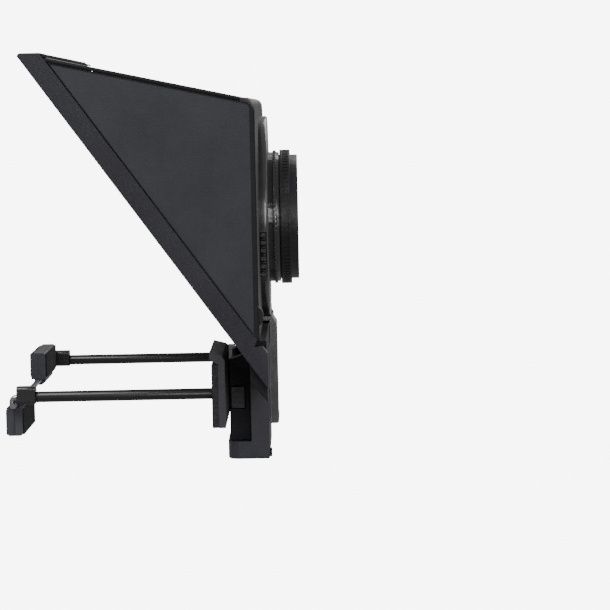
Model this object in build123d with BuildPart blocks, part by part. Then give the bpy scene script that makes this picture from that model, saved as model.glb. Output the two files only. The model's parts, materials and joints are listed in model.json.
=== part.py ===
from build123d import *
from math import cos, radians, sin
import os

# A folding light hood and beam-splitter glass that clips in front of a camera lens, with a
# spring clamp for a phone below the glass. Millimetres. The origin is on the lens axis where the
# step ring meets the lens, +X runs along the lens axis towards the camera, +Z is up.

# ---------------------------------------------------------------- driving dimensions
HALF_WIDTH = 108.0          # half of the hood's overall width
BACK_FRONT_X = -19.3        # back frame, front face
BACK_REAR_X = -13.3         # back frame, rear face
BACK_TOP_Z = 52.7
BACK_BOTTOM_Z = -46.2
BACK_HALF = 106.0
GAP = 0.3                   # clearance between bodies that move

GLASS_ANGLE = 54.2          # between the glass and the lens axis
GROOVE_X = -13.7            # lower end of the glass frame's rear face
GROOVE_Z = -46.15
BEAM_DEPTH = 8.0
BEAM_WIDTH = 8.0
FRAME_TOP_Z = 72.1
GLASS_THICK = 2.0

HINGE_X = -16.3             # fold hinge, across the bottom of the back frame
HINGE_Z = -35.7
PIN_R = 1.5
PIN_FIT = 0.05              # radial running clearance

COLLAR_R = 44.8
COLLAR_REAR_X = -9.7
RING_R = 28.7
RING_CLEAR_R = 25.5
THREAD_R = 27.5
THREAD_LENGTH = 3.2
FLANGE_R = 34.0

PANEL_THICK = 1.5           # hood boards

FOOT_HALF = 35.0
FOOT_BOTTOM_Z = -103.6
FOOT_TOP_Z = -95.8
RAIL_HALF = 31.0
RAIL_FRONT_X = -28.1
RAIL_BACK_X = -18.9
BLOCK_HALF = 25.0
COVER_HALF = 12.0

JAW_HALF = 81.0
JAW_FRONT_X = -31.2
JAW_REAR_X = -28.4
JAW_PAD_X = -34.0
JAW_BOTTOM_Z = -84.0
JAW_TOP_Z = -54.0
JAW_LOW_Z = -64.0           # top of the jaw's low part
JAW_TAB_Y = -20.0           # the tall tab runs from the near end to here
TUBE_Y = 77.0
TUBE_Z = -69.8
TUBE_R = 2.3
TUBE_BORE_R = 1.9
TUBE_END_X = -107.4
CAP_FRONT_X = -115.2
WIRE_R = 1.2
WIRE_FIT = 0.05
CLAW_X = -117.1
CLAW_AXIS_Z = -74.1
CLAW_LENGTH = 46.0
CLAW_OUTER_Y = 72.0
CLAW_THICK = 6.6
CLAW_PAD = 0.5

os.makedirs("parts", exist_ok=True)


def save(piece, label):
    """Label a finished piece and write its STEP file."""
    piece.label = label
    export_step(piece, f"parts/{label}.step")


def side(y):
    """The plane across the object at y, drawn in X and Z, extruding towards +Y."""
    return Plane(origin=(0, y, 0), x_dir=(1, 0, 0), z_dir=(0, 1, 0))


def along_x(x):
    """The plane square to the lens axis at x, drawn in Y and Z, extruding towards +X."""
    return Plane(origin=(x, 0, 0), x_dir=(0, 1, 0), z_dir=(1, 0, 0))


def flip(points):
    """Turn (X, Z) points into the local points of a side() plane, whose second axis is -Z."""
    return [(x, -z) for x, z in points]


# Directions in the plane of the side view: up the glass, and out of its front face.
UP = (-cos(radians(GLASS_ANGLE)), sin(radians(GLASS_ANGLE)))
OUT = (-sin(radians(GLASS_ANGLE)), -cos(radians(GLASS_ANGLE)))


def on_glass(up, out):
    """The (X, Z) of a point at a distance up the glass frame and out of its rear face."""
    return (
        GROOVE_X + UP[0] * up + OUT[0] * out,
        GROOVE_Z + UP[1] * up + OUT[1] * out,
    )


def groove_x(z, behind=0.0):
    """The X of the glass frame's rear face at height z, or of a line behind that face."""
    return GROOVE_X + (z - GROOVE_Z) * UP[0] / UP[1] + behind / -OUT[0]


# The glass frame's own plane: X along the object's width, Y up the glass, Z out of its front.
def glass_plane(out):
    x, z = on_glass(0, out)
    return Plane(origin=(x, 0, z), x_dir=(0, 1, 0), z_dir=(OUT[0], 0, OUT[1]))


GLASS_SIGN = 1 if glass_plane(0).y_dir.Z > 0 else -1

# ---------------------------------------------------------------- lens adapter
KNURL_COUNT = 90
with BuildPart() as adapter_ring:
    with BuildSketch(along_x(-16.6)):
        Circle(FLANGE_R)
    extrude(amount=2.6)
    with BuildSketch(along_x(-16.6)):
        Circle(RING_R)
    extrude(amount=16.6 - 4.9)
    with BuildSketch(along_x(-7.6)):
        Circle(RING_R + 0.8)
    extrude(amount=1.4)
    with BuildSketch(along_x(-4.9)):
        Circle(RING_CLEAR_R)
    extrude(amount=-12, mode=Mode.SUBTRACT)
    with BuildSketch(along_x(-4.9)):
        Circle(THREAD_R)
    extrude(amount=-3.0, mode=Mode.SUBTRACT)
    with BuildSketch(along_x(-7.7)):
        with PolarLocations(RING_R + 0.9, KNURL_COUNT):
            Rectangle(0.7, 1.0)
    extrude(amount=1.6, mode=Mode.SUBTRACT)
save(adapter_ring.part, "adapter_ring")

STEP_RING_R = 29.7
GRIP_COUNT = 90
with BuildPart() as step_ring:
    with BuildSketch(along_x(-4.6)):
        Circle(STEP_RING_R)
    extrude(amount=4.6)
    with BuildSketch(along_x(-7.6)):
        Circle(THREAD_R)
    extrude(amount=7.6 + THREAD_LENGTH)
    with BuildSketch(along_x(-7.6)):
        Circle(RING_CLEAR_R)
    extrude(amount=12, mode=Mode.SUBTRACT)
    with BuildSketch(along_x(-3.4)):
        with PolarLocations(STEP_RING_R, GRIP_COUNT):
            Rectangle(0.5, 1.0)
    extrude(amount=2.4, mode=Mode.SUBTRACT)
save(step_ring.part, "step_ring")

# ---------------------------------------------------------------- back frame and collar
NOTCH_TOP_Z = -4.6          # ring latch pocket in the collar's near side
NOTCH_BOTTOM_Z = -24.0
NOTCH_Z = (NOTCH_TOP_Z + NOTCH_BOTTOM_Z) / 2
NOTCH_HEIGHT = NOTCH_TOP_Z - NOTCH_BOTTOM_Z
EAR_RELIEF_R = 5.4          # room round the glass frame's hinge lugs
LUG_INNER_Y = 100.2

with BuildPart() as back_frame:
    with BuildSketch(along_x(BACK_FRONT_X)):
        with Locations((0, (BACK_TOP_Z + BACK_BOTTOM_Z) / 2)):
            Rectangle(2 * BACK_HALF, BACK_TOP_Z - BACK_BOTTOM_Z)
    extrude(amount=BACK_REAR_X - BACK_FRONT_X)
    fillet(back_frame.edges().filter_by(Axis.X).group_by(Axis.Z)[-1], 8)
    top_rear = back_frame.edges().filter_by(Axis.Y).group_by(Axis.Z)[-1].sort_by(Axis.X)[-1]
    fillet(top_rear, 3.6)
    with BuildSketch(along_x(BACK_FRONT_X)):
        Circle(RING_R + 1.3)
    extrude(amount=BACK_REAR_X - BACK_FRONT_X, mode=Mode.SUBTRACT)
    with BuildSketch(along_x(-17.0)):
        Circle(FLANGE_R + GAP)
    extrude(amount=17.0 + BACK_REAR_X, mode=Mode.SUBTRACT)
    for sign in (-1, 1):
        with BuildSketch(along_x(BACK_FRONT_X)):
            with Locations((sign * (LUG_INNER_Y - GAP + 10), BACK_BOTTOM_Z)):
                Rectangle(20, 2 * (HINGE_Z + EAR_RELIEF_R - BACK_BOTTOM_Z))
        extrude(amount=BACK_REAR_X - BACK_FRONT_X, mode=Mode.SUBTRACT)
        with BuildSketch(side(sign * LUG_INNER_Y)):
            with Locations((HINGE_X, -HINGE_Z)):
                Circle(PIN_R)
        extrude(amount=-sign * 12, mode=Mode.SUBTRACT)
    # stiffening ribs across the front face, both sides of the window
    with BuildSketch(along_x(BACK_FRONT_X)):
        for sign in (-1, 1):
            for y in (56, 72, 88):
                with Locations((sign * y, 3)):
                    SlotOverall(78, 7, rotation=90)
    extrude(amount=1.6, mode=Mode.SUBTRACT)
save(back_frame.part, "back_frame")

COLLAR_INNER_R = RING_R + GAP
SCREW_CIRCLE_R = 39.5
SCREW_HOLE_R = 1.6
with BuildPart() as lens_collar:
    with BuildSketch(along_x(BACK_REAR_X)):
        Circle(COLLAR_R)
        Circle(COLLAR_INNER_R, mode=Mode.SUBTRACT)
    extrude(amount=COLLAR_REAR_X - BACK_REAR_X)
    rims = lens_collar.edges().filter_by(GeomType.CIRCLE).group_by(Axis.X)[-1]
    fillet(rims.sort_by(SortBy.RADIUS)[-1], 1.0)
    with BuildSketch(along_x(BACK_REAR_X)):
        with Locations((-COLLAR_R, NOTCH_Z)):
            Rectangle(2 * (COLLAR_R - 33.0), NOTCH_HEIGHT)
        with Locations((-30, NOTCH_Z)):
            Rectangle(12, 4.4)
    extrude(amount=COLLAR_REAR_X - BACK_REAR_X - 0.7, mode=Mode.SUBTRACT)
    with BuildSketch(along_x(BACK_REAR_X)):
        with PolarLocations(SCREW_CIRCLE_R, 4, start_angle=45):
            Circle(SCREW_HOLE_R)
    extrude(amount=COLLAR_REAR_X - BACK_REAR_X, mode=Mode.SUBTRACT)
    with BuildSketch(along_x(COLLAR_REAR_X)):
        with PolarLocations(SCREW_CIRCLE_R, 4, start_angle=45):
            Circle(3.0)
    extrude(amount=-1.5, mode=Mode.SUBTRACT)
save(lens_collar.part, "lens_collar")

with BuildPart() as collar_screws:
    with BuildSketch(along_x(COLLAR_REAR_X - 1.5)):
        with PolarLocations(SCREW_CIRCLE_R, 4, start_angle=45):
            Circle(2.8)
    extrude(amount=1.2)
    with BuildSketch(along_x(COLLAR_REAR_X - 0.3)):
        with PolarLocations(SCREW_CIRCLE_R, 4, start_angle=45):
            RegularPolygon(1.3, 6)
    extrude(amount=-0.8, mode=Mode.SUBTRACT)
    with BuildSketch(along_x(COLLAR_REAR_X - 1.5)):
        with PolarLocations(SCREW_CIRCLE_R, 4, start_angle=45):
            Circle(SCREW_HOLE_R - 0.1)
    extrude(amount=-2.0)
save(collar_screws.part, "collar_screws")

LATCH_X = (BACK_REAR_X + GAP, COLLAR_REAR_X - 0.7 - GAP)
LATCH_INNER_Y = -37.5
with BuildPart() as ring_latch:
    with BuildSketch(along_x(LATCH_X[0])):
        with Locations(((LATCH_INNER_Y - 44.2) / 2, NOTCH_Z)):
            Rectangle(44.2 + LATCH_INNER_Y, NOTCH_HEIGHT - 2 * GAP)
        with Locations(((LATCH_INNER_Y - 30.4) / 2 + 0.5, NOTCH_Z)):
            Rectangle(-LATCH_INNER_Y - 30.4 + 1, 3.6)
    extrude(amount=LATCH_X[1] - LATCH_X[0])
    # finger grooves in the outer face
    with BuildSketch(along_x(LATCH_X[0])):
        for k in range(5):
            with Locations((-44.2, NOTCH_Z + (k - 2) * 3.4)):
                Circle(0.8)
    extrude(amount=LATCH_X[1] - LATCH_X[0], mode=Mode.SUBTRACT)
save(ring_latch.part, "ring_latch")



def coil(centre, length, radius, wire, pitch, direction):
    """A square-wire compression spring that starts at centre and runs along direction."""
    with BuildPart() as piece:
        with BuildLine() as turns:
            Helix(pitch, length, radius, center=centre, direction=direction)
        with BuildSketch(Plane(origin=turns.line @ 0, z_dir=turns.line % 0)):
            Rectangle(wire, wire)
        sweep(is_frenet=True)
    return piece.part


def save_group(pieces, label):
    """Write several identical solids as one node."""
    save(Compound(children=pieces), label)


LATCH_SPRING_X = (LATCH_X[0] + LATCH_X[1]) / 2
save_group(
    [
        coil((LATCH_SPRING_X, LATCH_INNER_Y + 0.4, NOTCH_Z + dz), 3.0, 0.8, 0.36, 0.9, (0, 1, 0))
        for dz in (-6, 6)
    ],
    "latch_springs",
)

# ---------------------------------------------------------------- glass frame
PIVOT_UP = (HINGE_X - GROOVE_X) * UP[0] + (HINGE_Z - GROOVE_Z) * UP[1]
PIVOT_OUT = (HINGE_X - GROOVE_X) * OUT[0] + (HINGE_Z - GROOVE_Z) * OUT[1]
HEEL_REAR_X = -9.9
HEEL_TOP_Z = -48.0
LUG_R = 4.9


TIP_Z = 70.9                # the front face turns into the rounded tip here
TIP_X = on_glass(0, BEAM_DEPTH)[0] + (TIP_Z - on_glass(0, BEAM_DEPTH)[1]) * UP[0] / UP[1]
FRAME_TIP = [(TIP_X, TIP_Z), (TIP_X + 0.5, FRAME_TOP_Z - 0.3), (TIP_X + 1.2, FRAME_TOP_Z)]


def beam(sign):
    """A side beam with its heel, and the lug that the fold hinge's pin goes through."""
    inner = sign * (HALF_WIDTH - BEAM_WIDTH)
    heel_low = on_glass(0, BEAM_DEPTH)
    slope = UP[1] / UP[0]
    heel_bottom_z = heel_low[1] + (HEEL_REAR_X - heel_low[0]) * slope
    with BuildPart() as piece:
        with BuildSketch(side(inner)):
            with BuildLine():
                Polyline(
                    flip(
                        [
                            (groove_x(FRAME_TOP_Z), FRAME_TOP_Z),
                            on_glass(1.0, 0),
                            (-15.4, HEEL_TOP_Z),
                            (-11.9, HEEL_TOP_Z),
                            (HEEL_REAR_X, -50.7),
                            (HEEL_REAR_X, heel_bottom_z),
                            *FRAME_TIP,
                        ]
                    ),
                    close=True,
                )
            make_face()
        extrude(amount=sign * BEAM_WIDTH)
        with BuildSketch(side(sign * LUG_INNER_Y)):
            with Locations((HINGE_X, -HINGE_Z)):
                Circle(LUG_R)
            with BuildLine():
                Polyline(
                    flip(
                        [
                            on_glass(PIVOT_UP - LUG_R, 1),
                            on_glass(PIVOT_UP + LUG_R, 1),
                            on_glass(PIVOT_UP + LUG_R, PIVOT_OUT),
                            on_glass(PIVOT_UP - LUG_R, PIVOT_OUT),
                        ]
                    ),
                    close=True,
                )
            make_face()
        extrude(amount=sign * (106.0 - LUG_INNER_Y))
        with BuildSketch(side(sign * LUG_INNER_Y)):
            with Locations((HINGE_X, -HINGE_Z)):
                Circle(PIN_R + PIN_FIT)
        extrude(amount=sign * 4.6, mode=Mode.SUBTRACT)
        # groove that the glass sits in
        with BuildSketch(glass_plane(2.8)):
            with Locations((sign * (HALF_WIDTH - BEAM_WIDTH), GLASS_SIGN * 74)):
                Rectangle(6, 128)
        extrude(amount=GLASS_THICK + 0.4, mode=Mode.SUBTRACT)
    return piece.part


save(beam(-1), "frame_beam_near")
save(beam(1), "frame_beam_far")

with BuildPart() as hinge_pins:
    for sign in (-1, 1):
        with BuildSketch(side(sign * (LUG_INNER_Y - 12))):
            with Locations((HINGE_X, -HINGE_Z)):
                Circle(PIN_R)
        extrude(amount=sign * 16.2)
save(hinge_pins.part, "hinge_pins")

CROSS_HALF = HALF_WIDTH - BEAM_WIDTH
with BuildPart() as frame_top_rail:
    with BuildSketch(side(-CROSS_HALF)):
        with BuildLine():
            Polyline(
                flip(
                    [
                        on_glass(134.0, 0),
                        on_glass(134.0, BEAM_DEPTH),
                        *FRAME_TIP,
                        (groove_x(FRAME_TOP_Z), FRAME_TOP_Z),
                    ]
                ),
                close=True,
            )
        make_face()
    extrude(amount=2 * CROSS_HALF)
    with BuildSketch(glass_plane(2.8)):
        with Locations((0, GLASS_SIGN * 74)):
            Rectangle(2 * CROSS_HALF + 6, 128)
    extrude(amount=GLASS_THICK + 0.4, mode=Mode.SUBTRACT)
save(frame_top_rail.part, "frame_top_rail")

with BuildPart() as frame_bottom_rail:
    with BuildSketch(side(-CROSS_HALF)):
        with BuildLine():
            Polyline(
                flip(
                    [
                        on_glass(7.0, 3.0),
                        on_glass(15.0, 3.0),
                        on_glass(15.0, BEAM_DEPTH),
                        on_glass(7.0, BEAM_DEPTH),
                    ]
                ),
                close=True,
            )
        make_face()
    extrude(amount=2 * CROSS_HALF)
    with BuildSketch(glass_plane(2.8)):
        with Locations((0, GLASS_SIGN * 74)):
            Rectangle(2 * CROSS_HALF + 6, 128)
    extrude(amount=GLASS_THICK + 0.4, mode=Mode.SUBTRACT)
save(frame_bottom_rail.part, "frame_bottom_rail")

GLASS_HALF = CROSS_HALF + 2.4
with BuildPart() as beam_splitter_glass:
    with BuildSketch(glass_plane(3.0)):
        with Locations((0, GLASS_SIGN * 74)):
            Rectangle(2 * GLASS_HALF, 126.4)
    extrude(amount=GLASS_THICK)
save(beam_splitter_glass.part, "beam_splitter_glass")

with BuildPart() as glass_retainers:
    for sign in (-1, 1):
        with BuildSketch(glass_plane(5.2)):
            with Locations((sign * (CROSS_HALF - 1.6), GLASS_SIGN * 74)):
                Rectangle(3.0, 112)
        extrude(amount=1.4)
save(glass_retainers.part, "glass_retainers")

# ---------------------------------------------------------------- hood
TOP_REAR = (-19.6, 53.0)
HOOD_SLOPE = 0.2200         # rise of the hood's top for each millimetre forward
TOP_FRONT_Z = 69.9


def top_line(x, under=0.0):
    """A point at x on the hood's top surface, or that far under it."""
    return (x, TOP_REAR[1] + (TOP_REAR[0] - x) * HOOD_SLOPE - under)


PANEL_OUTER_Y = 107.8
with BuildPart() as hood_top:
    with BuildSketch(side(-107.6)):
        with BuildLine():
            Polyline(
                flip(
                    [
                        TOP_REAR,
                        top_line(groove_x(TOP_FRONT_Z, GAP)),
                        top_line(groove_x(TOP_FRONT_Z - 1.4, GAP), PANEL_THICK),
                        top_line(TOP_REAR[0], PANEL_THICK),
                    ]
                ),
                close=True,
            )
        make_face()
    extrude(amount=2 * 107.6)
save(hood_top.part, "hood_top")


def hood_side(sign):
    """A side board: its top edge lies under the hood's top, its rear edge beside the back frame."""
    under = PANEL_THICK + GAP
    with BuildPart() as piece:
        with BuildSketch(side(sign * (PANEL_OUTER_Y - PANEL_THICK))):
            with BuildLine():
                Polyline(
                    flip(
                        [
                            top_line(BACK_REAR_X - 3.4, under),
                            top_line(groove_x(TOP_FRONT_Z - 2.0, 0.5), under),
                            on_glass(0.6, -0.5),
                            (BACK_REAR_X, on_glass(0.6, -0.5)[1]),
                            (BACK_REAR_X, BACK_TOP_Z - 5.0),
                        ]
                    ),
                    close=True,
                )
            make_face()
        extrude(amount=sign * PANEL_THICK)
    return piece.part


save(hood_side(-1), "hood_side_near")
save(hood_side(1), "hood_side_far")

CLIP_END_X = -79.6
CLIP_RISE = 1.0             # how far the clip stands above the hood's top
with BuildPart() as hood_clip:
    with BuildSketch(side(-107.6)):
        with BuildLine():
            Polyline(
                flip(
                    [
                        (groove_x(FRAME_TOP_Z), FRAME_TOP_Z),
                        top_line(CLIP_END_X, -CLIP_RISE),
                        top_line(CLIP_END_X, -GAP),
                        top_line(groove_x(70.0), -GAP),
                    ]
                ),
                close=True,
            )
        make_face()
    extrude(amount=16)
save(hood_clip.part, "hood_clip")

# ---------------------------------------------------------------- housing, foot and rail
with BuildPart() as hinge_housing:
    with BuildSketch(side(-99.6)):
        with BuildLine():
            Polyline(
                flip(
                    [
                        (-17.2, BACK_BOTTOM_Z),
                        (-10.6, BACK_BOTTOM_Z),
                        (-10.4, -71.4),
                        (-17.4, -63.4),
                    ]
                ),
                close=True,
            )
        make_face()
    extrude(amount=2 * 99.6)
    with BuildSketch(side(-FOOT_HALF)):
        with BuildLine():
            Polyline(
                flip([(-20.0, -56.0), (-8.0, -56.0), (-8.0, -80.0), (-20.0, -80.0)]),
                close=True,
            )
        make_face()
    extrude(amount=2 * FOOT_HALF, mode=Mode.SUBTRACT)
save(hinge_housing.part, "hinge_housing")

with BuildPart() as foot:
    with BuildSketch(side(-FOOT_HALF)):
        with BuildLine():
            Polyline(
                flip(
                    [
                        (-18.9, -56.0),
                        (-11.0, -56.0),
                        (-11.0, FOOT_BOTTOM_Z),
                        (-29.1, FOOT_BOTTOM_Z),
                        (-29.1, FOOT_TOP_Z),
                        (-18.9, FOOT_TOP_Z),
                    ]
                ),
                close=True,
            )
        make_face()
    extrude(amount=2 * FOOT_HALF)
    fillet(foot.edges().filter_by(Axis.Z).group_by(Axis.X)[0], 5.0)
    fillet(foot.edges().filter_by(Axis.Y).group_by(Axis.Z)[0], 0.8)
    with BuildSketch(Plane.XY.offset(FOOT_BOTTOM_Z)):
        with Locations((-20.0, 0)):
            Circle(4.5)
    extrude(amount=6.6, mode=Mode.SUBTRACT)
save(foot.part, "foot")

INSERT_R = 3.175
with BuildPart() as tripod_insert:
    with BuildSketch(Plane.XY.offset(FOOT_BOTTOM_Z)):
        with Locations((-20.0, 0)):
            Circle(4.5)
            Circle(INSERT_R, mode=Mode.SUBTRACT)
    extrude(amount=6.4)
save(tripod_insert.part, "tripod_insert")

with BuildPart() as foot_nub:
    with BuildSketch(along_x(-11.0)):
        with Locations((-30.6, -101.2)):
            SlotOverall(8, 3.4)
    extrude(amount=0.9)
save(foot_nub.part, "foot_nub")

RAIL_TOP_FRONT_Z = -60.6
RAIL_TOP_REAR_Z = -57.0
BLOCK_X = -23.7             # middle of the slide block's head in the rail's slot
BLOCK_DEPTH = 4.4
NECK_HALF = 19.0
BUTTON_X = -24.5
BUTTON_Z = -76.9
with BuildPart() as rail:
    with BuildSketch(side(-RAIL_HALF)):
        with BuildLine():
            Polyline(
                flip(
                    [
                        (RAIL_FRONT_X, RAIL_TOP_FRONT_Z),
                        (RAIL_BACK_X, RAIL_TOP_REAR_Z),
                        (RAIL_BACK_X, FOOT_TOP_Z),
                        (RAIL_FRONT_X, FOOT_TOP_Z),
                    ]
                ),
                close=True,
            )
        make_face()
    extrude(amount=2 * RAIL_HALF)
    with BuildSketch(Plane.XY.offset(FOOT_TOP_Z + 1.6)):
        with Locations((BLOCK_X, 0)):
            Rectangle(BLOCK_DEPTH + 2 * GAP, 2 * (BLOCK_HALF + GAP))
        with Locations((RAIL_FRONT_X, 0)):
            Rectangle(5.0, 2 * (NECK_HALF + GAP))
    extrude(amount=50, mode=Mode.SUBTRACT)
    for sign in (-1, 1):
        with BuildSketch(side(sign * (RAIL_HALF + 1))):
            with Locations((BUTTON_X, -BUTTON_Z)):
                Rectangle(6.2, 9.8)
        extrude(amount=-sign * 5.6, mode=Mode.SUBTRACT)
save(rail.part, "rail")


def lock_button(sign):
    """A push button in the rail's side that frees the slide block."""
    with BuildPart() as piece:
        with BuildSketch(side(sign * (RAIL_HALF + 0.6))):
            with Locations((BUTTON_X, -BUTTON_Z)):
                RectangleRounded(5.6, 9.2, 0.6)
        extrude(amount=-sign * 2.4)
        for k in range(3):
            with BuildSketch(side(sign * (RAIL_HALF + 0.6))):
                with Locations((BUTTON_X, -BUTTON_Z + (k - 1) * 2.4)):
                    Rectangle(4.0, 0.8)
            extrude(amount=-sign * 0.4, mode=Mode.SUBTRACT)
    return piece.part


save(lock_button(-1), "lock_button_near")
save(lock_button(1), "lock_button_far")

save_group(
    [
        coil((BUTTON_X, sign * 26.7, BUTTON_Z), 2.1, 1.5, 0.36, 1.0, (0, sign, 0))
        for sign in (-1, 1)
    ],
    "button_springs",
)

COVER_TOP_Z = -41.8
COVER_CHAMFER_Z = -47.0
COVER_FACE_X = -7.2
COVER_SEAT_X = -10.4        # the cover and its cap stand on the foot's rear face
CAP_TOP_Z = -87.6
CAP_BOTTOM_Z = -91.0
CATCH_TOP_Z = -60.0
CATCH_BOTTOM_Z = -76.0
CATCH_WIDTH = 14.0
CATCH_TRAVEL = 5.0
CATCH_DEPTH = 2.2
COVER_SCREWS = ((0, -50.6), (0, -82.6))
with BuildPart() as rear_cover:
    with BuildSketch(side(-COVER_HALF)):
        with BuildLine():
            Polyline(
                flip(
                    [
                        (BACK_REAR_X, -45.2),
                        (BACK_REAR_X, COVER_TOP_Z - 0.4),
                        (COVER_SEAT_X, COVER_TOP_Z),
                        (COVER_FACE_X, COVER_CHAMFER_Z),
                        (COVER_FACE_X, CAP_TOP_Z),
                        (COVER_SEAT_X, CAP_TOP_Z),
                        (COVER_SEAT_X, -45.2),
                    ]
                ),
                close=True,
            )
        make_face()
    extrude(amount=2 * COVER_HALF)
    with BuildSketch(along_x(BACK_REAR_X)):
        Circle(COLLAR_R + 0.2)
    extrude(amount=COLLAR_REAR_X - BACK_REAR_X + 0.2, mode=Mode.SUBTRACT)
    with BuildSketch(along_x(COVER_FACE_X)):
        with Locations((0, (CATCH_TOP_Z + CATCH_BOTTOM_Z + CATCH_TRAVEL) / 2)):
            RectangleRounded(
                CATCH_WIDTH + 2 * GAP,
                CATCH_TOP_Z - CATCH_BOTTOM_Z + CATCH_TRAVEL + 2 * GAP,
                2,
            )
    extrude(amount=-CATCH_DEPTH - GAP, mode=Mode.SUBTRACT)
    with BuildSketch(along_x(COVER_FACE_X)):
        with Locations(*COVER_SCREWS):
            Circle(2.5)
    extrude(amount=-1.2, mode=Mode.SUBTRACT)
save(rear_cover.part, "rear_cover")

with BuildPart() as cover_screws:
    with BuildSketch(along_x(COVER_FACE_X - 1.2)):
        with Locations(*COVER_SCREWS):
            Circle(2.3)
    extrude(amount=1.0)
    with BuildSketch(along_x(COVER_FACE_X - 0.2)):
        with Locations(*COVER_SCREWS):
            RegularPolygon(1.2, 6)
    extrude(amount=-0.7, mode=Mode.SUBTRACT)
save(cover_screws.part, "cover_screws")

with BuildPart() as cover_cap:
    with BuildSketch(along_x(COVER_SEAT_X)):
        with Locations((0, (CAP_TOP_Z + CAP_BOTTOM_Z) / 2)):
            Rectangle(2 * COVER_HALF, CAP_TOP_Z - CAP_BOTTOM_Z)
    extrude(amount=3.4)
    fillet(cover_cap.edges().filter_by(Axis.Y).group_by(Axis.X)[-1], 0.8)
save(cover_cap.part, "cover_cap")

with BuildPart() as slide_catch:
    with BuildSketch(along_x(COVER_FACE_X - CATCH_DEPTH)):
        with Locations((0, (CATCH_TOP_Z + CATCH_BOTTOM_Z) / 2)):
            RectangleRounded(CATCH_WIDTH, CATCH_TOP_Z - CATCH_BOTTOM_Z, 1.8)
    extrude(amount=CATCH_DEPTH)
    for k in range(5):
        with BuildSketch(along_x(COVER_FACE_X)):
            with Locations((0, (CATCH_TOP_Z + CATCH_BOTTOM_Z) / 2 + (k - 2) * 2.6)):
                Rectangle(10, 1.0)
        extrude(amount=-0.6, mode=Mode.SUBTRACT)
save(slide_catch.part, "slide_catch")

# ---------------------------------------------------------------- phone clamp
with BuildPart() as slide_block:
    with BuildSketch(Plane.XY.offset(-83.0)):
        with Locations((BLOCK_X, 0)):
            Rectangle(BLOCK_DEPTH, 2 * BLOCK_HALF)
        with Locations(((JAW_REAR_X + BLOCK_X) / 2, 0)):
            Rectangle(BLOCK_X - JAW_REAR_X, 2 * NECK_HALF)
    extrude(amount=20)
save(slide_block.part, "slide_block")

with BuildPart() as clamp_jaw:
    with BuildSketch(along_x(JAW_FRONT_X)):
        with Locations((0, (JAW_BOTTOM_Z + JAW_LOW_Z) / 2)):
            Rectangle(2 * JAW_HALF, JAW_LOW_Z - JAW_BOTTOM_Z)
    extrude(amount=JAW_REAR_X - JAW_FRONT_X)
    with BuildSketch(side(-JAW_HALF)):
        with BuildLine():
            Polyline(
                flip(
                    [
                        (JAW_REAR_X, JAW_LOW_Z),
                        (JAW_REAR_X, JAW_TOP_Z - 1.8),
                        (JAW_REAR_X - 1.0, JAW_TOP_Z),
                        (-34.8, JAW_TOP_Z + 1.4),
                        (-34.8, JAW_TOP_Z - 1.2),
                        (JAW_FRONT_X, JAW_TOP_Z - 3.4),
                        (JAW_FRONT_X, JAW_LOW_Z),
                    ]
                ),
                close=True,
            )
        make_face()
    extrude(amount=JAW_HALF + JAW_TAB_Y)
    with BuildSketch(along_x(JAW_FRONT_X)):
        for sign in (-1, 1):
            with Locations((sign * TUBE_Y, TUBE_Z)):
                Circle(TUBE_R)
    extrude(amount=2.0, mode=Mode.SUBTRACT)
save(clamp_jaw.part, "clamp_jaw")

PAD_TOP_Z = JAW_TOP_Z - 3.6
PAD_EDGE = 0.4
with BuildPart() as jaw_pad:
    with BuildSketch(along_x(JAW_PAD_X)):
        with Locations((0, (JAW_BOTTOM_Z + JAW_LOW_Z) / 2)):
            Rectangle(2 * JAW_HALF - 2 * PAD_EDGE, JAW_LOW_Z - JAW_BOTTOM_Z)
        with Locations(((JAW_TAB_Y - JAW_HALF) / 2, (PAD_TOP_Z + JAW_BOTTOM_Z) / 2)):
            Rectangle(JAW_HALF + JAW_TAB_Y - 2 * PAD_EDGE, PAD_TOP_Z - JAW_BOTTOM_Z)
        for sign in (-1, 1):
            with Locations((sign * TUBE_Y, TUBE_Z)):
                Circle(TUBE_R + 0.1, mode=Mode.SUBTRACT)
    extrude(amount=JAW_FRONT_X - JAW_PAD_X)
    with BuildSketch(along_x(JAW_PAD_X)):
        for k in range(4):
            with Locations((0, -81.0 + k * 4.0)):
                Rectangle(140, 1.0)
    extrude(amount=0.6, mode=Mode.SUBTRACT)
save(jaw_pad.part, "jaw_pad")

with BuildPart() as guide_tubes:
    with BuildSketch(along_x(TUBE_END_X)):
        for sign in (-1, 1):
            with Locations((sign * TUBE_Y, TUBE_Z)):
                Circle(TUBE_R)
                Circle(TUBE_BORE_R, mode=Mode.SUBTRACT)
    extrude(amount=JAW_FRONT_X + 2.0 - TUBE_END_X)
save(guide_tubes.part, "guide_tubes")

with BuildPart() as tube_end_caps:
    with BuildSketch(along_x(CAP_FRONT_X)):
        for sign in (-1, 1):
            with Locations((sign * TUBE_Y, TUBE_Z + 0.9)):
                RectangleRounded(7.0, 7.2, 1.2)
            with Locations((sign * TUBE_Y, TUBE_Z)):
                Circle(WIRE_R + WIRE_FIT, mode=Mode.SUBTRACT)
    extrude(amount=TUBE_END_X - CAP_FRONT_X)
save(tube_end_caps.part, "tube_end_caps")

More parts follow.
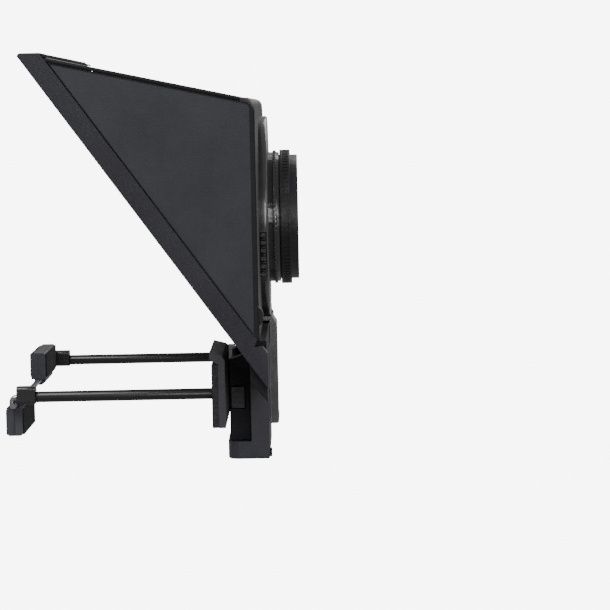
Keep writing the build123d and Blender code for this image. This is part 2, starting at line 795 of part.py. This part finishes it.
LEG_END_X = -40.0
with BuildPart() as wire_bail:
    with BuildLine() as bail_line:
        FilletPolyline(
            (LEG_END_X, -TUBE_Y, TUBE_Z),
            (CLAW_X - 0.6, -TUBE_Y, TUBE_Z),
            (CLAW_X, -TUBE_Y, CLAW_AXIS_Z),
            (CLAW_X, TUBE_Y, CLAW_AXIS_Z),
            (CLAW_X - 0.6, TUBE_Y, TUBE_Z),
            (LEG_END_X, TUBE_Y, TUBE_Z),
            radius=2.1,
        )
    with BuildSketch(Plane(origin=(LEG_END_X, -TUBE_Y, TUBE_Z), z_dir=(-1, 0, 0))):
        Circle(WIRE_R)
    sweep()
save(wire_bail.part, "wire_bail")

with BuildPart() as bail_collars:
    with BuildSketch(along_x(LEG_END_X)):
        for sign in (-1, 1):
            with Locations((sign * TUBE_Y, TUBE_Z)):
                Circle(TUBE_BORE_R - 0.05)
    extrude(amount=2.0)
save(bail_collars.part, "bail_collars")

SPRING_LENGTH = LEG_END_X - TUBE_END_X - 1.2
save_group(
    [
        coil((TUBE_END_X + 0.6, y, TUBE_Z), SPRING_LENGTH, 1.55, 0.46, 2.4, (1, 0, 0))
        for y in (-TUBE_Y, TUBE_Y)
    ],
    "bail_springs",
)


def claw(sign, turn):
    """A swivel claw: a block beside the bail's cross wire, with a knuckle round the wire.
    turn is -1 for the block below the wire and 1 for above it."""
    start = sign * (CLAW_OUTER_Y - CLAW_LENGTH) if sign > 0 else -CLAW_OUTER_Y
    near_z = CLAW_AXIS_Z + turn * 0.7
    far_z = CLAW_AXIS_Z + turn * 12.6
    with BuildPart() as piece:
        with BuildSketch(side(start)):
            with Locations((CLAW_X, -(near_z + far_z) / 2)):
                Rectangle(CLAW_THICK, abs(far_z - near_z))
        extrude(amount=CLAW_LENGTH)
        fillet(piece.edges().filter_by(Axis.Y).group_by(Axis.Z)[0 if turn < 0 else -1], 1.2)
        with BuildSketch(side(start + 6)):
            with Locations((CLAW_X, -CLAW_AXIS_Z)):
                Circle(2.6)
        extrude(amount=CLAW_LENGTH - 12)
        with BuildSketch(side(start)):
            with Locations((CLAW_X, -CLAW_AXIS_Z)):
                Circle(WIRE_R + WIRE_FIT)
        extrude(amount=CLAW_LENGTH, mode=Mode.SUBTRACT)
        # moulding line down the middle of both ends
        for end in (start, start + CLAW_LENGTH):
            with BuildSketch(side(end - 0.3)):
                with Locations((CLAW_X, -(CLAW_AXIS_Z + turn * 8))):
                    Rectangle(0.35, 10)
            extrude(amount=0.6, mode=Mode.SUBTRACT)
    return piece.part


def claw_pads(sign, turn):
    """The rough pads on a claw's two gripping faces."""
    start = sign * (CLAW_OUTER_Y - CLAW_LENGTH) if sign > 0 else -CLAW_OUTER_Y
    middle_z = CLAW_AXIS_Z + turn * 6.9
    with BuildPart() as piece:
        with BuildSketch(side(start + 1.0)):
            for face in (-1, 1):
                with Locations((CLAW_X + face * (CLAW_THICK + CLAW_PAD) / 2, -middle_z)):
                    Rectangle(CLAW_PAD, 10.6)
        extrude(amount=CLAW_LENGTH - 2.0)
    return piece.part


save(claw(-1, -1), "claw_near")
save(claw(1, 1), "claw_far")
save(claw_pads(-1, -1), "claw_pads_near")
save(claw_pads(1, 1), "claw_pads_far")
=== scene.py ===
import json
import math

import bmesh
import bpy
from mathutils import Matrix, Vector


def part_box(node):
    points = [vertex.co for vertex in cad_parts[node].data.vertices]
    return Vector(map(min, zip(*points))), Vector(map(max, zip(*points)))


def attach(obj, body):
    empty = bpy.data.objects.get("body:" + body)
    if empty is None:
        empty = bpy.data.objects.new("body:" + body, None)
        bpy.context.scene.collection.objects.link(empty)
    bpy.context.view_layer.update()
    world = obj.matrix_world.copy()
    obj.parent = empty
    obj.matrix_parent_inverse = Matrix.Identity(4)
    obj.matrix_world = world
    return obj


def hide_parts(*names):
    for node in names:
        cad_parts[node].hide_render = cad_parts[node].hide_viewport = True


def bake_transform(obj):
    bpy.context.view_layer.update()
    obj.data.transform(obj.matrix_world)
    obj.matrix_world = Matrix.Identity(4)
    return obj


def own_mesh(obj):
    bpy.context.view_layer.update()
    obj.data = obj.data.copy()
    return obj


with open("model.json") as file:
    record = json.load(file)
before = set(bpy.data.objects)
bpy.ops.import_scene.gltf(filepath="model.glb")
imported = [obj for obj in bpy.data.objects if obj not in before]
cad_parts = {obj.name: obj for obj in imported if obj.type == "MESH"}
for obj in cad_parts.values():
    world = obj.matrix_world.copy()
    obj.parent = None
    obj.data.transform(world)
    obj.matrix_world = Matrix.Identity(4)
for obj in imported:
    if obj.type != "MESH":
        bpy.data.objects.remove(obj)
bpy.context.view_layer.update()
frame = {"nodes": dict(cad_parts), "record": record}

MM = 0.001
NODES = frame["nodes"]


# ---------------------------------------------------------------- camera, light and floor
SEEN_WHITE = 7.5            # brightness of the surroundings as the camera sees them
SOFT_WHITE = 0.42           # brightness of the surroundings as a light
FLOOR_Z = -0.62
BEVEL_ANGLE = 32            # degrees; flatter edges than this get no bevel


def make_camera():
    """A level-ish product view from the side, a little above the lens axis."""
    pitch, roll = math.radians(4.509), math.radians(1.15)
    forward = Vector((0, math.cos(pitch), -math.sin(pitch)))
    right0 = Vector((1, 0, 0))
    up0 = Vector((0, math.sin(pitch), math.cos(pitch)))
    right = right0 * math.cos(roll) - up0 * math.sin(roll)
    up = up0 * math.cos(roll) + right0 * math.sin(roll)
    turn = Matrix((right, up, -forward)).transposed().to_4x4()
    data = bpy.data.cameras.new("camera")
    data.lens = 148.2
    data.sensor_width = 36
    data.clip_start = 0.01
    camera = bpy.data.objects.new("camera", data)
    camera.matrix_world = Matrix.Translation((0.00544, -1.117, 0.04837)) @ turn
    bpy.context.scene.collection.objects.link(camera)
    bpy.context.scene.camera = camera


def area_light(name, place, target, size, power, colour=(1, 1, 1)):
    data = bpy.data.lights.new(name, "AREA")
    data.shape = "RECTANGLE"
    data.size, data.size_y = size
    data.energy = power
    data.color = colour
    lamp = bpy.data.objects.new(name, data)
    lamp.location = place
    lamp.rotation_euler = (Vector(target) - Vector(place)).to_track_quat("-Z", "Y").to_euler()
    bpy.context.scene.collection.objects.link(lamp)


def make_light():
    """Plain white surroundings: seen bright, but soft enough as a light to keep the blacks deep."""
    world = bpy.data.worlds.new("studio")
    world.use_nodes = True
    tree = world.node_tree
    seen = tree.nodes["Background"]
    seen.inputs["Strength"].default_value = SEEN_WHITE
    soft = tree.nodes.new("ShaderNodeBackground")
    soft.inputs["Strength"].default_value = SOFT_WHITE
    for background in (seen, soft):
        background.inputs["Color"].default_value = (1, 1, 1, 1)
    path = tree.nodes.new("ShaderNodeLightPath")
    mix = tree.nodes.new("ShaderNodeMixShader")
    tree.links.new(path.outputs["Is Camera Ray"], mix.inputs["Fac"])
    tree.links.new(soft.outputs["Background"], mix.inputs[1])
    tree.links.new(seen.outputs["Background"], mix.inputs[2])
    tree.links.new(mix.outputs["Shader"], tree.nodes["World Output"].inputs["Surface"])
    bpy.context.scene.world = world
    area_light("key", (-0.32, -0.52, 0.52), (-0.08, -0.1, 0.06), (0.4, 0.4), 6.5)
    area_light("fill", (0.8, -0.8, 0.3), (0, 0, -0.04), (0.5, 0.5), 2.5)
    area_light("front", (0.16, -1.3, 0.16), (0, 0, 0), (0.22, 0.5), 4)
    area_light("rear", (0.5, 0.9, 0.7), (0, 0, 0), (0.8, 0.8), 6)


def make_floor():
    bpy.ops.mesh.primitive_plane_add(size=14, location=(0, 0, FLOOR_Z))
    floor = bpy.context.object
    floor.name = "floor"
    material = bpy.data.materials.new("floor_pale")
    material.use_nodes = True
    shader = material.node_tree.nodes["Principled BSDF"]
    shader.inputs["Base Color"].default_value = (0.95, 0.95, 0.95, 1)
    shader.inputs["Roughness"].default_value = 0.7
    shader.inputs["Emission Color"].default_value = (1, 1, 1, 1)
    shader.inputs["Emission Strength"].default_value = SEEN_WHITE - SOFT_WHITE
    floor.visible_diffuse = False
    floor.visible_glossy = False
    floor.visible_transmission = False
    floor.data.materials.append(material)


# ---------------------------------------------------------------- materials
def node_material(name, metallic=0.0, specular=0.5):
    material = bpy.data.materials.new(name)
    material.use_nodes = True
    tree = material.node_tree
    shader = tree.nodes["Principled BSDF"]
    shader.inputs["Metallic"].default_value = metallic
    shader.inputs["Specular IOR Level"].default_value = specular
    return material, tree, shader


def place_coords(tree, stretch=(1, 1, 1)):
    """Object coordinates in metres, stretched for grain that runs one way."""
    coords = tree.nodes.new("ShaderNodeTexCoord")
    mapping = tree.nodes.new("ShaderNodeMapping")
    mapping.inputs["Scale"].default_value = stretch
    tree.links.new(coords.outputs["Object"], mapping.inputs["Vector"])
    return mapping.outputs["Vector"]


def noise(tree, vector, scale, detail=3.0, rough=0.55):
    texture = tree.nodes.new("ShaderNodeTexNoise")
    texture.inputs["Scale"].default_value = scale
    texture.inputs["Detail"].default_value = detail
    texture.inputs["Roughness"].default_value = rough
    tree.links.new(vector, texture.inputs["Vector"])
    return texture.outputs["Fac"]


def ramp(tree, value, low, high, start=0.3, end=0.7):
    """Map a 0 to 1 value onto two colours, or two grey levels given as numbers."""
    node = tree.nodes.new("ShaderNodeValToRGB")
    node.color_ramp.elements[0].position = start
    node.color_ramp.elements[1].position = end
    for element, colour in zip(node.color_ramp.elements, (low, high)):
        element.color = (*colour, 1) if isinstance(colour, tuple) else (colour, colour, colour, 1)
    tree.links.new(value, node.inputs["Fac"])
    return node.outputs["Color"]


def bump(tree, shader, value, depth, strength=1.0, before=None):
    node = tree.nodes.new("ShaderNodeBump")
    node.inputs["Distance"].default_value = depth
    node.inputs["Strength"].default_value = strength
    tree.links.new(value, node.inputs["Height"])
    if before:
        tree.links.new(before, node.inputs["Normal"])
    tree.links.new(node.outputs["Normal"], shader.inputs["Normal"])
    return node.outputs["Normal"]


def painted_edge_highlight(tree, colour, highlight_colour, amount):
    """Painted highlight: lighten the sharp edges a little, where light would catch them."""
    geometry = tree.nodes.new("ShaderNodeNewGeometry")
    mask = ramp(tree, geometry.outputs["Pointiness"], 0.0, amount, 0.52, 0.62)
    mix = tree.nodes.new("ShaderNodeMix")
    mix.data_type = "RGBA"
    tree.links.new(mask, mix.inputs["Factor"])
    tree.links.new(colour, mix.inputs["A"])
    mix.inputs["B"].default_value = (*highlight_colour, 1)
    return mix.outputs["Result"]


def moulded(name, dark, light, rough=(0.42, 0.55), grain=2600, depth=0.00004, specular=0.5, edge_highlight_amount=0.35):
    """Moulded plastic: a fine spark-eroded grain, slow colour drift and a painted highlight that lightens the
    sharp edges.
    """
    material, tree, shader = node_material(name, specular=specular)
    vector = place_coords(tree)
    drift = ramp(tree, noise(tree, vector, 22), dark, light)
    # painted highlight colour for the sharp edges
    highlight_colour = tuple(min(1.0, c * 2.2 + 0.01) for c in light)
    tree.links.new(painted_edge_highlight(tree, drift, highlight_colour, edge_highlight_amount), shader.inputs["Base Color"])
    smudge = noise(tree, vector, 60, 5)
    tree.links.new(ramp(tree, smudge, rough[0], rough[1]), shader.inputs["Roughness"])
    fine = bump(tree, shader, noise(tree, vector, grain, 2), depth)
    bump(tree, shader, noise(tree, vector, 90, 2), depth * 1.5, 0.3, fine)
    return material


def laminate(name, dark, light, weave=1900, depth=0.00005, rough=(0.6, 0.75)):
    """Cloth-faced board: crossed threads over a slow mottle."""
    material, tree, shader = node_material(name, specular=0.18)
    vector = place_coords(tree)
    across = tree.nodes.new("ShaderNodeTexWave")
    across.wave_type, across.bands_direction = "BANDS", "X"
    across.inputs["Scale"].default_value = weave / 6
    along = tree.nodes.new("ShaderNodeTexWave")
    along.wave_type, along.bands_direction = "BANDS", "Z"
    along.inputs["Scale"].default_value = weave / 6
    for wave in (across, along):
        wave.inputs["Distortion"].default_value = 0.6
        tree.links.new(vector, wave.inputs["Vector"])
    threads = tree.nodes.new("ShaderNodeMath")
    threads.operation = "MAXIMUM"
    tree.links.new(across.outputs["Fac"], threads.inputs[0])
    tree.links.new(along.outputs["Fac"], threads.inputs[1])
    mottle = noise(tree, vector, 35, 4)
    tree.links.new(ramp(tree, mottle, dark, light), shader.inputs["Base Color"])
    tree.links.new(ramp(tree, noise(tree, vector, 300, 3), rough[0], rough[1]), shader.inputs["Roughness"])
    shader.inputs["Sheen Weight"].default_value = 0.05
    shader.inputs["Sheen Roughness"].default_value = 0.5
    first = bump(tree, shader, threads.outputs["Value"], depth, 0.6)
    bump(tree, shader, noise(tree, vector, 1400, 2), depth, 0.5, first)
    return material


def metal(name, colour, rough=(0.2, 0.35), stretch=(1, 1, 1), scale=400, depth=0.00001):
    material, tree, shader = node_material(name, metallic=1.0)
    vector = place_coords(tree, stretch)
    brushed = noise(tree, vector, scale, 4)
    darker = tuple(c * 0.8 for c in colour)
    tree.links.new(ramp(tree, brushed, darker, colour), shader.inputs["Base Color"])
    tree.links.new(ramp(tree, brushed, rough[0], rough[1]), shader.inputs["Roughness"])
    bump(tree, shader, brushed, depth)
    return material


def rough_rubber(name, dark, light, scale=900, depth=0.00025):
    """Coarse gripping rubber, pitted all over."""
    material, tree, shader = node_material(name, specular=0.3)
    vector = place_coords(tree)
    pits = tree.nodes.new("ShaderNodeTexVoronoi")
    pits.inputs["Scale"].default_value = scale
    tree.links.new(vector, pits.inputs["Vector"])
    tree.links.new(ramp(tree, pits.outputs["Distance"], dark, light, 0.1, 0.8), shader.inputs["Base Color"])
    tree.links.new(ramp(tree, noise(tree, vector, 200), 0.75, 0.92), shader.inputs["Roughness"])
    bump(tree, shader, pits.outputs["Distance"], depth)
    return material


def beam_splitter(name):
    """Half-silvered plate glass with faint coating drift."""
    material, tree, shader = node_material(name, specular=0.8)
    vector = place_coords(tree)
    drift = noise(tree, vector, 14, 2)
    tree.links.new(ramp(tree, drift, (0.80, 0.83, 0.86), (0.86, 0.88, 0.90)), shader.inputs["Base Color"])
    tree.links.new(ramp(tree, noise(tree, vector, 40), 0.0, 0.02), shader.inputs["Roughness"])
    shader.inputs["Transmission Weight"].default_value = 0.9
    shader.inputs["IOR"].default_value = 1.9
    shader.inputs["Coat Weight"].default_value = 1.0
    shader.inputs["Coat Roughness"].default_value = 0.0
    return material


def make_materials():
    return {
        "anodised_ring": moulded(
            "anodised_ring", (0.010, 0.010, 0.012), (0.018, 0.018, 0.020),
            (0.16, 0.24), 3000, 0.00001, 0.8,
        ),
        "anodised_step_ring": moulded(
            "anodised_step_ring", (0.007, 0.007, 0.009), (0.013, 0.013, 0.015),
            (0.34, 0.46), 3000, 0.00002, 0.35,
        ),
        "textured_back": moulded(
            "textured_back", (0.010, 0.008, 0.008), (0.018, 0.015, 0.014),
            (0.38, 0.55), 1100, 0.00012, 0.25,
        ),
        "satin_collar": moulded(
            "satin_collar", (0.030, 0.030, 0.031), (0.042, 0.041, 0.042),
            (0.16, 0.24), 2200, 0.00001, 0.9,
        ),
        "black_screws": metal("black_screws", (0.05, 0.05, 0.052), (0.35, 0.5)),
        "satin_black_catch": moulded(
            "satin_black_catch", (0.010, 0.010, 0.011), (0.016, 0.016, 0.018),
            (0.32, 0.45), 2600, 0.00003, 0.3,
        ),
        "spring_steel": metal("spring_steel", (0.5, 0.5, 0.5), (0.2, 0.3)),
        "frame_plastic": moulded(
            "frame_plastic", (0.006, 0.006, 0.009), (0.012, 0.012, 0.016),
            (0.40, 0.54), 1800, 0.00008, 0.25,
        ),
        "beam_splitter": beam_splitter("beam_splitter"),
        "black_strip": laminate("black_strip", (0.006, 0.006, 0.007), (0.011, 0.011, 0.013), 1600, 0.00006),
        "hood_board": laminate("hood_board", (0.020, 0.021, 0.025), (0.028, 0.029, 0.034)),
        "hood_binding": laminate("hood_binding", (0.005, 0.005, 0.006), (0.008, 0.008, 0.009), 2400, 0.00005),
        # Painted shade: the hinge housing is given a very dark colour to stand for the shadow that the beam
        # casts on it
        "housing_plastic": moulded(
            "housing_plastic", (0.005, 0.005, 0.007), (0.009, 0.009, 0.012),
            (0.45, 0.6), 2200, 0.00006, 0.15, 0.1,
        ),
        "foot_plastic": moulded(
            "foot_plastic", (0.023, 0.023, 0.030), (0.032, 0.032, 0.040),
            (0.38, 0.5), 2600, 0.00004, 0.3,
        ),
        "brass_insert": metal("brass_insert", (0.72, 0.52, 0.22), (0.25, 0.4)),
        "nub_rubber": rough_rubber("nub_rubber", (0.008, 0.008, 0.008), (0.014, 0.014, 0.014), 2500, 0.0001),
        "cover_plastic": moulded(
            "cover_plastic", (0.026, 0.026, 0.028), (0.036, 0.036, 0.038),
            (0.18, 0.28), 2400, 0.00001, 0.8,
        ),
        "jaw_plastic": moulded(
            "jaw_plastic", (0.018, 0.018, 0.022), (0.027, 0.027, 0.032),
            (0.38, 0.5), 2400, 0.00005, 0.3,
        ),
        "pad_rubber": rough_rubber("pad_rubber", (0.006, 0.006, 0.007), (0.022, 0.022, 0.024)),
        "tube_black": moulded(
            "tube_black", (0.006, 0.006, 0.007), (0.011, 0.011, 0.012),
            (0.25, 0.36), 2600, 0.00002, 0.35,
        ),
        "cap_plastic": moulded(
            "cap_plastic", (0.004, 0.004, 0.005), (0.008, 0.008, 0.009),
            (0.22, 0.34), 2600, 0.00002, 0.45,
        ),
        "bright_wire": metal("bright_wire", (0.36, 0.36, 0.37), (0.18, 0.3), (1, 1, 1), 700),
        "claw_plastic": moulded(
            "claw_plastic", (0.015, 0.016, 0.021), (0.026, 0.027, 0.033),
            (0.36, 0.5), 2000, 0.00006, 0.3,
        ),
    }


# ---------------------------------------------------------------- CAD pieces that stay
BEVELS = {
    "adapter_ring": 0.12, "step_ring": 0.12, "back_frame": 0.5, "lens_collar": 0.35, "ring_latch": 0.25,
    "frame_beam_near": 0.5, "frame_beam_far": 0.5, "frame_top_rail": 0.5, "frame_bottom_rail": 0.5,
    "hinge_housing": 0.5, "foot": 0.35, "rail": 0.3, "rear_cover": 0.4, "cover_cap": 0.25,
    "slide_catch": 0.25,
    "clamp_jaw": 0.4, "jaw_pad": 0.3, "slide_block": 0.4, "tube_end_caps": 0.3, "claw_near": 0.35,
    "claw_far": 0.35,
    "claw_pads_near": 0.2, "claw_pads_far": 0.2, "hood_clip": 0.3, "lock_button_near": 0.2,
    "lock_button_far": 0.2, "collar_screws": 0.15, "cover_screws": 0.15, "foot_nub": 0.3,
    "tripod_insert": 0.15,
    "glass_retainers": 0.2, "guide_tubes": 0.15,
}


def dress_cad_nodes(materials):
    slots = {part["node"]: part["material_slot"] for part in frame["record"]["subparts"]}
    for name, node in NODES.items():
        node.data.materials.clear()
        node.data.materials.append(materials[slots[name]])
        if name in BEVELS:
            weld = node.modifiers.new("weld", "WELD")
            weld.merge_threshold = 1e-6
            bevel = node.modifiers.new("bevel", "BEVEL")
            bevel.width = BEVELS[name] * MM
            bevel.segments = 3
            bevel.limit_method = "ANGLE"
            bevel.angle_limit = math.radians(BEVEL_ANGLE)
            bevel.harden_normals = True
            bevel.use_clamp_overlap = True


# ---------------------------------------------------------------- hood boards
def rounded(corners, radii, steps=6):
    """The outline of a polygon (2-D points, in order) with each corner rounded by its radius."""
    outline = []
    count = len(corners)
    for i, corner in enumerate(corners):
        here = Vector(corner)
        before = (Vector(corners[i - 1]) - here).normalized()
        after = (Vector(corners[(i + 1) % count]) - here).normalized()
        half = before.angle(after) / 2
        reach = radii[i] / math.tan(half)
        centre = here + (before + after).normalized() * radii[i] / math.sin(half)
        first, last = here + before * reach - centre, here + after * reach - centre
        for k in range(steps + 1):
            arm = first.lerp(last, k / steps).normalized() * radii[i]
            outline.append(centre + arm)
    return outline


def board(name, outer, inner, radii, lift, to_space, thick, materials):
    """A bound board: a raised black binding, from the outer outline to the inner one, round a
    field that lies a little lower. radii holds the outer and inner corner radii; to_space
    turns a 2-D point and a depth (0 is the outer face) into a 3-D point."""
    outside, inside = rounded(outer, radii[0]), rounded(inner, radii[1])
    rim = 0.2 * MM
    levels = [(0.0, thick, 1), (0.0, rim, 1), (0.1, 0.0, 1), (0.85, 0.0, 1), (1.0, rim, 1), (1.0, lift, 1)]
    mesh = bmesh.new()
    loops = [
        [mesh.verts.new(to_space(a.lerp(b, share), depth)) for a, b in zip(outside, inside)]
        for share, depth, _ in levels
    ]
    for (ring, after), level in zip(zip(loops, loops[1:]), levels[1:]):
        for i in range(len(ring)):
            j = (i + 1) % len(ring)
            mesh.faces.new((ring[i], ring[j], after[j], after[i])).material_index = level[2]
    mesh.faces.new(loops[-1]).material_index = 0
    mesh.faces.new(list(reversed(loops[0]))).material_index = 1
    bmesh.ops.recalc_face_normals(mesh, faces=mesh.faces)
    data = bpy.data.meshes.new(name)
    mesh.to_mesh(data)
    mesh.free()
    for face in data.polygons:
        face.use_smooth = len(face.vertices) == 4
    data.materials.append(materials["hood_board"])
    data.materials.append(materials["hood_binding"])
    piece = bpy.data.objects.new(name, data)
    bpy.context.scene.collection.objects.link(piece)
    return piece


TOP_BINDING = 0.3 * MM
REAR_BINDING = 2.0 * MM
DIAGONAL_BINDING = 0.2 * MM
CLOSER = 0.4 * MM            # how far the boards reach into the seams of the solid pieces


def side_outlines(node):
    """Outer and inner corners of a hood side board (front, rear, bottom, edge) from its CAD outline."""
    points = [(v.co[0], v.co[2]) for v in NODES[node].data.vertices]
    front = Vector(max(points, key=lambda p: p[1]))
    rear_x = max(p[0] for p in points)
    shoulder = Vector(max((p for p in points if p[0] < rear_x - MM), key=lambda p: p[0] + 3 * p[1]))
    low = min(p[1] for p in points)
    edge = Vector(min((p for p in points if p[1] < low + 0.1 * MM), key=lambda p: p[0]))
    top_slope = (shoulder.y - front.y) / (shoulder.x - front.x)
    diagonal_slope = (edge.y - front.y) / (edge.x - front.x)
    front += Vector((-CLOSER, CLOSER * 0.6))
    edge += Vector((-CLOSER, 0))
    outer = [front, Vector((rear_x, front.y + (rear_x - front.x) * top_slope)), Vector((rear_x, low)), edge]
    inner_x = rear_x - REAR_BINDING
    start = front + Vector((4.0 * DIAGONAL_BINDING, -DIAGONAL_BINDING - TOP_BINDING))
    foot_z = start.y + (inner_x - start.x) * diagonal_slope
    inner = [
        start, Vector((inner_x, start.y + (inner_x - start.x) * top_slope)),
        Vector((inner_x, foot_z + 0.5 * MM)),
        Vector((inner_x - 0.3 * MM, foot_z - 0.3 * MM * diagonal_slope)),
    ]
    return outer, inner


def make_hood_sides(materials):
    for name, outward in (("hood_side_near", -1), ("hood_side_far", 1)):
        low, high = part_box(name)
        outer_y = low[1] if outward < 0 else high[1]
        outer, inner = side_outlines(name)
        small = 0.1 * MM
        piece = board(
            name.replace("hood_side", "hood_board"), outer, inner,
            ([small, 4.2 * MM, small, small], [small, 2.4 * MM, small / 2, small / 2]), 0.4 * MM,
            lambda p, depth: Vector((p[0], outer_y - outward * depth, p[1])),
            high[1] - low[1], materials,
        )
        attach(piece, "base")
        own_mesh(piece)
        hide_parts(name)


def make_hood_top(materials):
    """The top board lies between the glass frame and the back frame."""
    points = [v.co for v in NODES["hood_top"].data.vertices]
    low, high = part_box("hood_top")
    rear = max(points, key=lambda p: (round(p.x, 5), p.z))
    front = max(points, key=lambda p: p.z)
    run = Vector((front.x - rear.x, 0, front.z - rear.z))
    along = run.normalized()
    down = Vector((along.z, 0, -along.x))
    if down.z > 0:
        down = -down
    start = Vector((rear.x, 0, rear.z))
    end, margin = run.length, 1.6 * MM
    outer = [(0, low[1]), (end, low[1]), (end, high[1]), (0, high[1])]
    inner = [
        (margin, low[1] + margin), (end - margin, low[1] + margin),
        (end - margin, high[1] - margin), (margin, high[1] - margin),
    ]
    piece = board(
        "hood_board_top", outer, inner, ([0.5 * MM] * 4, [0.3 * MM] * 4), 0.25 * MM,
        lambda p, depth: start + along * p[0] + Vector((0, p[1], 0)) + down * depth,
        1.46 * MM, materials,
    )
    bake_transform(piece)
    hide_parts("hood_top")


# ---------------------------------------------------------------- coil springs
def spring(name, start, along, length, radius, wire, turns, materials):
    """A round-wire coil spring from start to start plus length along a unit vector."""
    along = Vector(along)
    side = Vector((0, 0, 1))
    other = along.cross(side)
    per_turn, facets = 18, 8
    count = int(turns * per_turn)
    rise = length / count
    mesh = bmesh.new()
    rings = []
    for k in range(count + 1):
        angle = 2 * math.pi * k / per_turn
        out = side * math.cos(angle) + other * math.sin(angle)
        centre = Vector(start) + along * (rise * k) + out * radius
        rings.append([
            mesh.verts.new(
                centre
                + out * wire * math.cos(2 * math.pi * f / facets)
                + along * wire * math.sin(2 * math.pi * f / facets)
            )
            for f in range(facets)
        ])
    for ring, after in zip(rings, rings[1:]):
        for f in range(facets):
            g = (f + 1) % facets
            mesh.faces.new((ring[f], ring[g], after[g], after[f])).smooth = True
    mesh.faces.new(rings[0])
    mesh.faces.new(rings[-1])
    bmesh.ops.recalc_face_normals(mesh, faces=mesh.faces)
    data = bpy.data.meshes.new(name)
    mesh.to_mesh(data)
    mesh.free()
    data.materials.append(materials["spring_steel"])
    piece = bpy.data.objects.new(name, data)
    bpy.context.scene.collection.objects.link(piece)
    return piece


def make_springs(materials):
    low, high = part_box("bail_springs")
    outer = (high[2] - low[2]) / 2
    wire = 0.22 * MM
    height = (high[2] + low[2]) / 2
    for tag, sign in (("near", -1), ("far", 1)):
        place = (low[0] + wire, sign * (high[1] - outer), height)
        length = high[0] - low[0] - 2 * wire
        piece = spring("bail_spring_" + tag, place, (1, 0, 0), length, 1.55 * MM, wire, 28, materials)
        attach(piece, "carriage")
        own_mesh(piece)
        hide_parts("bail_springs")
    low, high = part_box("button_springs")
    wire = 0.16 * MM
    length = 1.9 * MM
    for tag, sign in (("near", -1), ("far", 1)):
        place = ((low[0] + high[0]) / 2, sign * (high[1] - wire - length), (low[2] + high[2]) / 2)
        piece = spring("button_spring_" + tag, place, (0, sign, 0), length, 1.5 * MM, wire, 2.5, materials)
        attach(piece, "base")
        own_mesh(piece)
        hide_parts("button_springs")


# ---------------------------------------------------------------- assembly
make_camera()
make_light()
make_floor()
MATERIALS = make_materials()
dress_cad_nodes(MATERIALS)
make_hood_sides(MATERIALS)
make_hood_top(MATERIALS)
make_springs(MATERIALS)
